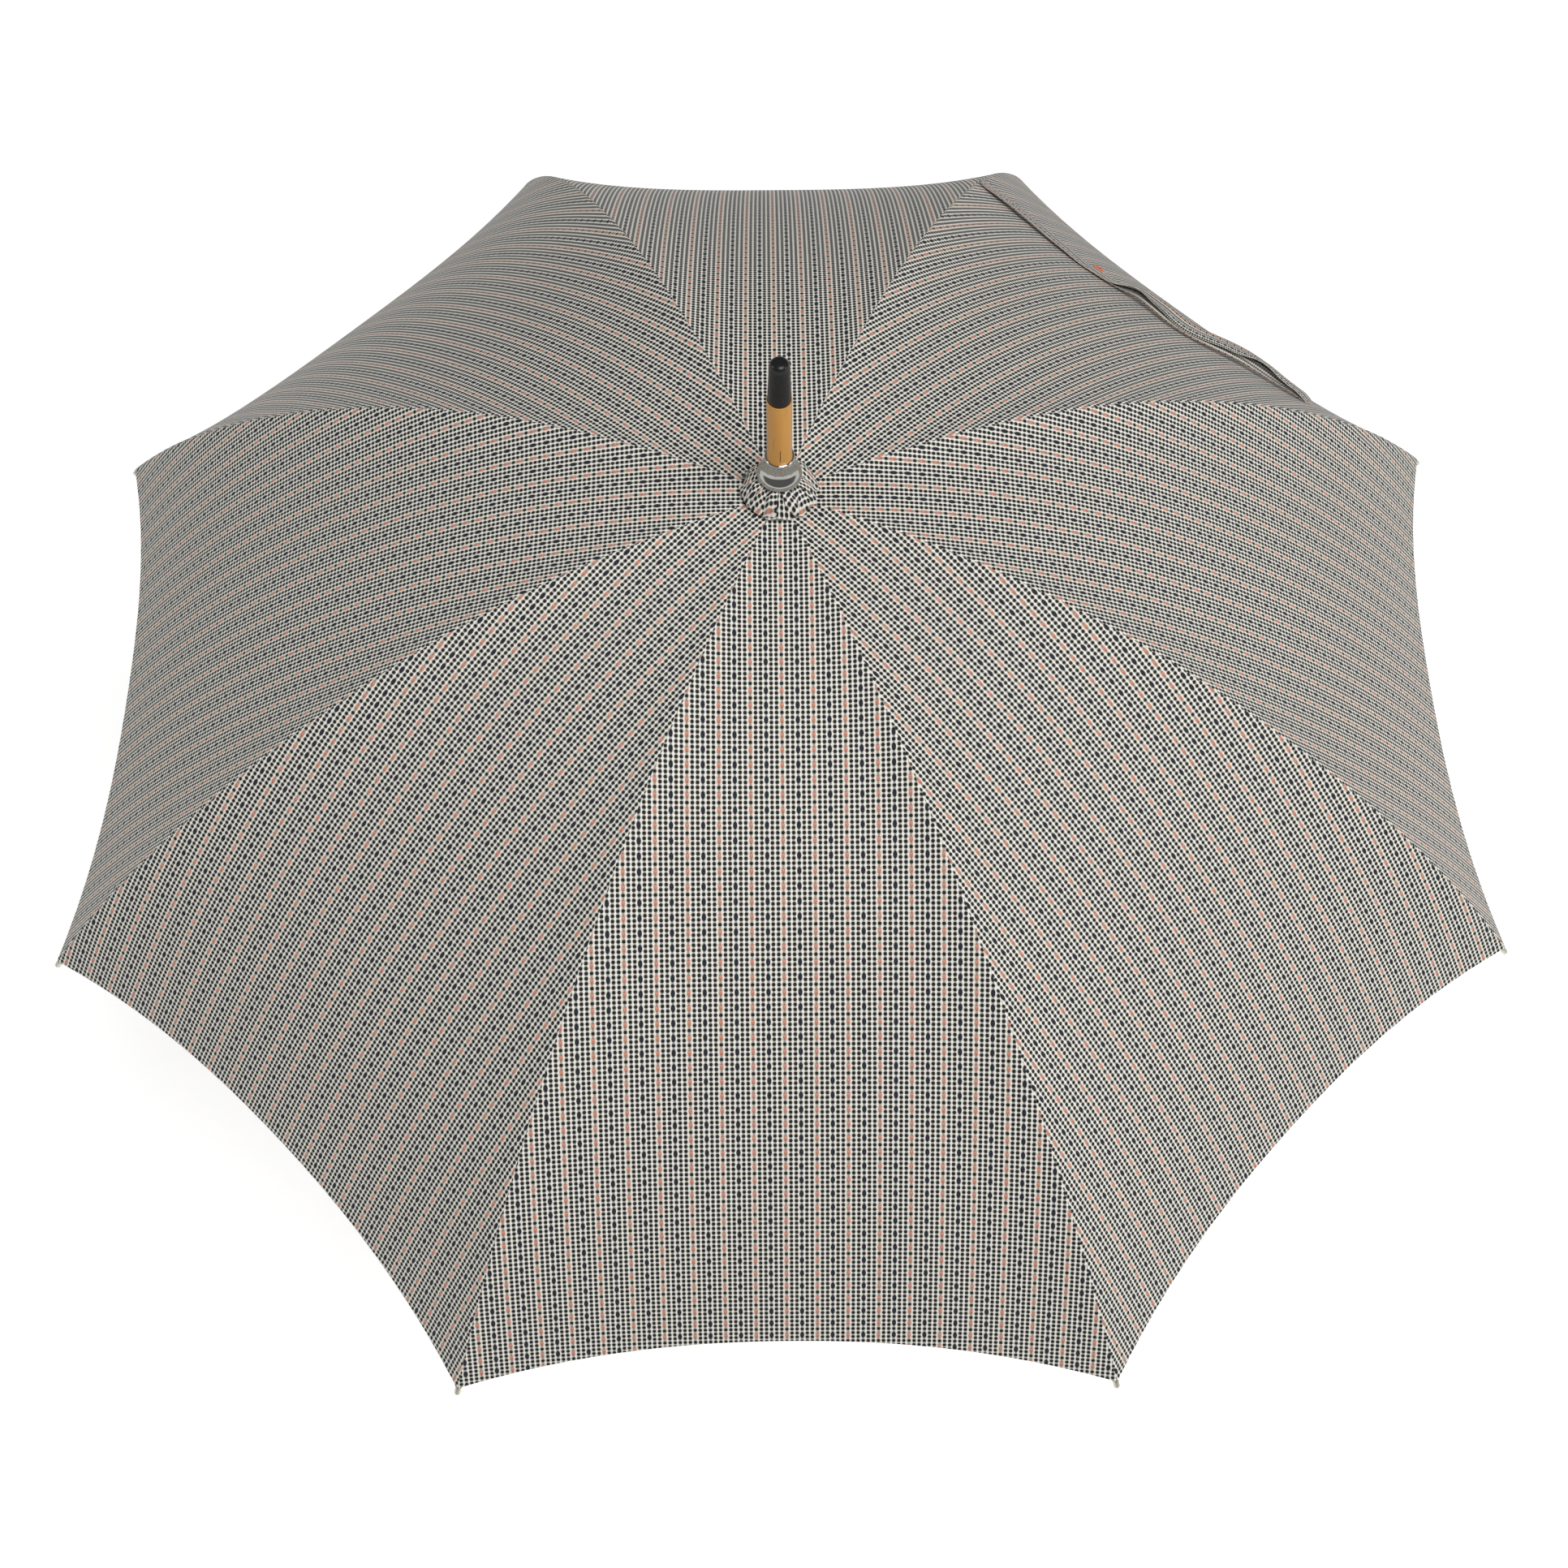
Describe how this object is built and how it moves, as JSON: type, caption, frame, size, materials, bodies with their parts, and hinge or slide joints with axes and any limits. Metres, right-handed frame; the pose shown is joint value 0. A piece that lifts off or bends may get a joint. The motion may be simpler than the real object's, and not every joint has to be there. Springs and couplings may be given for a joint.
{
  "type": "stick umbrella",
  "caption": "Open stick umbrella with a domed cloth canopy on jointed steel ribs and stretchers, a sliding runner with two spring catches, a wooden stick, a capped top and a crook handle.",
  "frame": {"origin": "middle of the straight hand grip, on the stick's axis", "axes": "+Z along the stick towards its black point, +X the way the crook bends, canopy open"},
  "size_m": [1.0106, 1.0106, 0.9152],
  "materials": {
    "wood": "satin varnished ash with fine pores",
    "handle_wood": "satin varnished, bent",
    "black_plastic": "soft gloss",
    "nickel": "polished nickel plate",
    "frame_steel": "bright plated steel",
    "canopy_cloth": "woven cloth printed with rows of orange and navy ovals and small dots",
    "orange_button": "soft gloss"
  },
  "bodies": {
    "stick": {"shaft": "wood", "ferrule_point": "black_plastic", "ferrule_ring": "nickel", "crown_cap": "nickel", "canopy_rosette": "canopy_cloth", "notch": "frame_steel", "notch_wire": "frame_steel", "notch_pin": "frame_steel", "stop_pin": "frame_steel", "handle_collar": "nickel", "handle": "handle_wood", "top_catch_pin": "frame_steel", "bottom_catch_pin": "frame_steel"},
    "runner": {"runner": "frame_steel"},
    "top_catch": {"top_catch": "frame_steel"},
    "bottom_catch": {"bottom_catch": "frame_steel"},
    "rib_inner_1": {"rib_inner_1": "frame_steel", "canopy_panel_1": "canopy_cloth"},
    "rib_outer_1": {"rib_outer_1": "frame_steel", "rib_tip_1": "nickel"},
    "stretcher_1": {"stretcher_1": "frame_steel"},
    "rib_inner_2": {"rib_inner_2": "frame_steel", "canopy_panel_2": "canopy_cloth"},
    "rib_outer_2": {"rib_outer_2": "frame_steel", "rib_tip_2": "nickel"},
    "stretcher_2": {"stretcher_2": "frame_steel"},
    "rib_inner_3": {"rib_inner_3": "frame_steel", "canopy_panel_3": "canopy_cloth"},
    "rib_outer_3": {"rib_outer_3": "frame_steel", "rib_tip_3": "nickel"},
    "stretcher_3": {"stretcher_3": "frame_steel"},
    "rib_inner_4": {"rib_inner_4": "frame_steel", "canopy_panel_4": "canopy_cloth"},
    "rib_outer_4": {"rib_outer_4": "frame_steel", "rib_tip_4": "nickel", "tie_strap": "canopy_cloth", "strap_button": "orange_button"},
    "stretcher_4": {"stretcher_4": "frame_steel"},
    "rib_inner_5": {"rib_inner_5": "frame_steel", "canopy_panel_5": "canopy_cloth"},
    "rib_outer_5": {"rib_outer_5": "frame_steel", "rib_tip_5": "nickel"},
    "stretcher_5": {"stretcher_5": "frame_steel"},
    "rib_inner_6": {"rib_inner_6": "frame_steel", "canopy_panel_6": "canopy_cloth"},
    "rib_outer_6": {"rib_outer_6": "frame_steel", "rib_tip_6": "nickel"},
    "stretcher_6": {"stretcher_6": "frame_steel"},
    "rib_inner_7": {"rib_inner_7": "frame_steel", "canopy_panel_7": "canopy_cloth"},
    "rib_outer_7": {"rib_outer_7": "frame_steel", "rib_tip_7": "nickel"},
    "stretcher_7": {"stretcher_7": "frame_steel"},
    "rib_inner_8": {"rib_inner_8": "frame_steel", "canopy_panel_8": "canopy_cloth"},
    "rib_outer_8": {"rib_outer_8": "frame_steel", "rib_tip_8": "nickel"},
    "stretcher_8": {"stretcher_8": "frame_steel"}
  },
  "joints": [
    {"name": "runner_slide", "type": "slide", "parent": "stick", "child": "runner", "axis": [0, 0, 1], "range_m": [-0.44068, 0]},
    {"name": "rib_fold_1", "type": "hinge", "parent": "stick", "child": "rib_inner_1", "pos_m": [0.00478, -0.01155, 0.69], "axis": [0.9239, 0.3827, 0], "range_deg": [-0.1, 74.1], "deforming": ["canopy_panel_1"]},
    {"name": "rib_flex_1", "type": "hinge", "parent": "rib_inner_1", "child": "rib_outer_1", "pos_m": [0.10594, -0.25576, 0.64339], "axis": [0.9239, 0.3827, 0], "range_deg": [-25.1, 0.1]},
    {"name": "stretcher_turn_1", "type": "hinge", "parent": "rib_inner_1", "child": "stretcher_1", "pos_m": [0.10594, -0.25576, 0.64339], "axis": [0.9239, 0.3827, 0], "range_deg": [-148.1, 0.1]},
    {"name": "rib_fold_2", "type": "hinge", "parent": "stick", "child": "rib_inner_2", "pos_m": [0.01155, -0.00478, 0.69], "axis": [0.3827, 0.9239, 0], "range_deg": [-0.1, 74.1], "deforming": ["canopy_panel_2"]},
    {"name": "rib_flex_2", "type": "hinge", "parent": "rib_inner_2", "child": "rib_outer_2", "pos_m": [0.25576, -0.10594, 0.64339], "axis": [0.3827, 0.9239, 0], "range_deg": [-25.1, 0.1]},
    {"name": "stretcher_turn_2", "type": "hinge", "parent": "rib_inner_2", "child": "stretcher_2", "pos_m": [0.25576, -0.10594, 0.64339], "axis": [0.3827, 0.9239, 0], "range_deg": [-148.1, 0.1]},
    {"name": "rib_fold_3", "type": "hinge", "parent": "stick", "child": "rib_inner_3", "pos_m": [0.01155, 0.00478, 0.69], "axis": [-0.3827, 0.9239, 0], "range_deg": [-0.1, 74.1], "deforming": ["canopy_panel_3"]},
    {"name": "rib_flex_3", "type": "hinge", "parent": "rib_inner_3", "child": "rib_outer_3", "pos_m": [0.25576, 0.10594, 0.64339], "axis": [-0.3827, 0.9239, 0], "range_deg": [-25.1, 0.1]},
    {"name": "stretcher_turn_3", "type": "hinge", "parent": "rib_inner_3", "child": "stretcher_3", "pos_m": [0.25576, 0.10594, 0.64339], "axis": [-0.3827, 0.9239, 0], "range_deg": [-148.1, 0.1]},
    {"name": "rib_fold_4", "type": "hinge", "parent": "stick", "child": "rib_inner_4", "pos_m": [0.00478, 0.01155, 0.69], "axis": [-0.9239, 0.3827, 0], "range_deg": [-0.1, 74.1], "deforming": ["canopy_panel_4"]},
    {"name": "rib_flex_4", "type": "hinge", "parent": "rib_inner_4", "child": "rib_outer_4", "pos_m": [0.10594, 0.25576, 0.64339], "axis": [-0.9239, 0.3827, 0], "range_deg": [-25.1, 0.1], "deforming": ["tie_strap", "strap_button"]},
    {"name": "stretcher_turn_4", "type": "hinge", "parent": "rib_inner_4", "child": "stretcher_4", "pos_m": [0.10594, 0.25576, 0.64339], "axis": [-0.9239, 0.3827, 0], "range_deg": [-148.1, 0.1]},
    {"name": "rib_fold_5", "type": "hinge", "parent": "stick", "child": "rib_inner_5", "pos_m": [-0.00478, 0.01155, 0.69], "axis": [-0.9239, -0.3827, 0], "range_deg": [-0.1, 74.1], "deforming": ["canopy_panel_5"]},
    {"name": "rib_flex_5", "type": "hinge", "parent": "rib_inner_5", "child": "rib_outer_5", "pos_m": [-0.10594, 0.25576, 0.64339], "axis": [-0.9239, -0.3827, 0], "range_deg": [-25.1, 0.1]},
    {"name": "stretcher_turn_5", "type": "hinge", "parent": "rib_inner_5", "child": "stretcher_5", "pos_m": [-0.10594, 0.25576, 0.64339], "axis": [-0.9239, -0.3827, 0], "range_deg": [-148.1, 0.1]},
    {"name": "rib_fold_6", "type": "hinge", "parent": "stick", "child": "rib_inner_6", "pos_m": [-0.01155, 0.00478, 0.69], "axis": [-0.3827, -0.9239, 0], "range_deg": [-0.1, 74.1], "deforming": ["canopy_panel_6"]},
    {"name": "rib_flex_6", "type": "hinge", "parent": "rib_inner_6", "child": "rib_outer_6", "pos_m": [-0.25576, 0.10594, 0.64339], "axis": [-0.3827, -0.9239, 0], "range_deg": [-25.1, 0.1]},
    {"name": "stretcher_turn_6", "type": "hinge", "parent": "rib_inner_6", "child": "stretcher_6", "pos_m": [-0.25576, 0.10594, 0.64339], "axis": [-0.3827, -0.9239, 0], "range_deg": [-148.1, 0.1]},
    {"name": "rib_fold_7", "type": "hinge", "parent": "stick", "child": "rib_inner_7", "pos_m": [-0.01155, -0.00478, 0.69], "axis": [0.3827, -0.9239, 0], "range_deg": [-0.1, 74.1], "deforming": ["canopy_panel_7"]},
    {"name": "rib_flex_7", "type": "hinge", "parent": "rib_inner_7", "child": "rib_outer_7", "pos_m": [-0.25576, -0.10594, 0.64339], "axis": [0.3827, -0.9239, 0], "range_deg": [-25.1, 0.1]},
    {"name": "stretcher_turn_7", "type": "hinge", "parent": "rib_inner_7", "child": "stretcher_7", "pos_m": [-0.25576, -0.10594, 0.64339], "axis": [0.3827, -0.9239, 0], "range_deg": [-148.1, 0.1]},
    {"name": "rib_fold_8", "type": "hinge", "parent": "stick", "child": "rib_inner_8", "pos_m": [-0.00478, -0.01155, 0.69], "axis": [0.9239, -0.3827, 0], "range_deg": [-0.1, 74.1], "deforming": ["canopy_panel_8"]},
    {"name": "rib_flex_8", "type": "hinge", "parent": "rib_inner_8", "child": "rib_outer_8", "pos_m": [-0.10594, -0.25576, 0.64339], "axis": [0.9239, -0.3827, 0], "range_deg": [-25.1, 0.1]},
    {"name": "stretcher_turn_8", "type": "hinge", "parent": "rib_inner_8", "child": "stretcher_8", "pos_m": [-0.10594, -0.25576, 0.64339], "axis": [0.9239, -0.3827, 0], "range_deg": [-148.1, 0.1]},
    {"name": "top_catch_press", "type": "hinge", "parent": "stick", "child": "top_catch", "pos_m": [0, -0.004, 0.4564], "axis": [1, 0, 0], "range_deg": [-2, 0], "stiffness_Nm_per_rad": 0.2, "springref_deg": 5.73},
    {"name": "bottom_catch_press", "type": "hinge", "parent": "stick", "child": "bottom_catch", "pos_m": [0, -0.004, 0.23172], "axis": [-1, 0, 0], "range_deg": [-2, 0], "stiffness_Nm_per_rad": 0.2, "springref_deg": 5.73}
  ],
  "couplings": [
    {"joint": "rib_fold_1", "follows": "runner_slide", "rad_per_m": -2.9308},
    {"joint": "rib_flex_1", "follows": "runner_slide", "rad_per_m": 0.99014},
    {"joint": "stretcher_turn_1", "follows": "runner_slide", "rad_per_m": 5.8616},
    {"joint": "rib_fold_2", "follows": "runner_slide", "rad_per_m": -2.9308},
    {"joint": "rib_flex_2", "follows": "runner_slide", "rad_per_m": 0.99014},
    {"joint": "stretcher_turn_2", "follows": "runner_slide", "rad_per_m": 5.8616},
    {"joint": "rib_fold_3", "follows": "runner_slide", "rad_per_m": -2.9308},
    {"joint": "rib_flex_3", "follows": "runner_slide", "rad_per_m": 0.99014},
    {"joint": "stretcher_turn_3", "follows": "runner_slide", "rad_per_m": 5.8616},
    {"joint": "rib_fold_4", "follows": "runner_slide", "rad_per_m": -2.9308},
    {"joint": "rib_flex_4", "follows": "runner_slide", "rad_per_m": 0.99014},
    {"joint": "stretcher_turn_4", "follows": "runner_slide", "rad_per_m": 5.8616},
    {"joint": "rib_fold_5", "follows": "runner_slide", "rad_per_m": -2.9308},
    {"joint": "rib_flex_5", "follows": "runner_slide", "rad_per_m": 0.99014},
    {"joint": "stretcher_turn_5", "follows": "runner_slide", "rad_per_m": 5.8616},
    {"joint": "rib_fold_6", "follows": "runner_slide", "rad_per_m": -2.9308},
    {"joint": "rib_flex_6", "follows": "runner_slide", "rad_per_m": 0.99014},
    {"joint": "stretcher_turn_6", "follows": "runner_slide", "rad_per_m": 5.8616},
    {"joint": "rib_fold_7", "follows": "runner_slide", "rad_per_m": -2.9308},
    {"joint": "rib_flex_7", "follows": "runner_slide", "rad_per_m": 0.99014},
    {"joint": "stretcher_turn_7", "follows": "runner_slide", "rad_per_m": 5.8616},
    {"joint": "rib_fold_8", "follows": "runner_slide", "rad_per_m": -2.9308},
    {"joint": "rib_flex_8", "follows": "runner_slide", "rad_per_m": 0.99014},
    {"joint": "stretcher_turn_8", "follows": "runner_slide", "rad_per_m": 5.8616}
  ]
}
